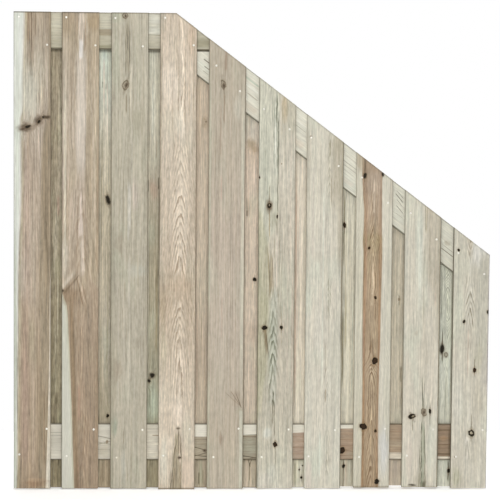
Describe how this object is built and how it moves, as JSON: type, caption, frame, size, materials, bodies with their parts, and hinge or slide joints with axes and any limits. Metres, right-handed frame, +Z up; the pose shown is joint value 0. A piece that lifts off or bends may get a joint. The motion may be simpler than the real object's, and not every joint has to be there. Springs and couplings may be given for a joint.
{
  "type": "wooden fence panel with a sloped top",
  "caption": "Treated pine fence panel of upright boards overlapping on both faces of three rails, level at the top on the high side and then sloping down to half height.",
  "frame": {"origin": "under the middle of the panel, at the level of its lowest board end", "axes": "+Z up along the boards, +X along the rails from the high side to the low side, -Y out of the front face"},
  "size_m": [1.8, 0.0466, 1.8],
  "materials": {
    "pine_heartwood": "planed, pressure-treated pine, brown heartwood with pale green sapwood",
    "pine_weathered": "planed, pressure-treated pine, greige with green streaks",
    "pine_sapwood": "planed, pressure-treated pine, pale sapwood with dark knots",
    "pine_rail": "planed, pressure-treated pine, grain along the rail",
    "screw_steel": "bright stainless steel"
  },
  "bodies": {
    "root": {"front_board_1": "pine_heartwood", "front_board_2": "pine_heartwood", "front_board_3": "pine_weathered", "front_board_4": "pine_heartwood", "front_board_5": "pine_weathered", "front_board_6": "pine_sapwood", "front_board_7": "pine_sapwood", "front_board_8": "pine_heartwood", "front_board_9": "pine_sapwood", "front_board_10": "pine_sapwood", "back_board_1": "pine_heartwood", "back_board_2": "pine_weathered", "back_board_3": "pine_weathered", "back_board_4": "pine_heartwood", "back_board_5": "pine_sapwood", "back_board_6": "pine_sapwood", "back_board_7": "pine_sapwood", "back_board_8": "pine_weathered", "back_board_9": "pine_sapwood", "top_rail": "pine_rail", "slope_rail": "pine_rail", "bottom_rail": "pine_rail", "front_screws_top": "screw_steel", "front_screws_slope": "screw_steel", "front_screws_bottom": "screw_steel", "back_screws_top": "screw_steel", "back_screws_slope": "screw_steel", "back_screws_bottom": "screw_steel"}
  },
  "joints": []
}
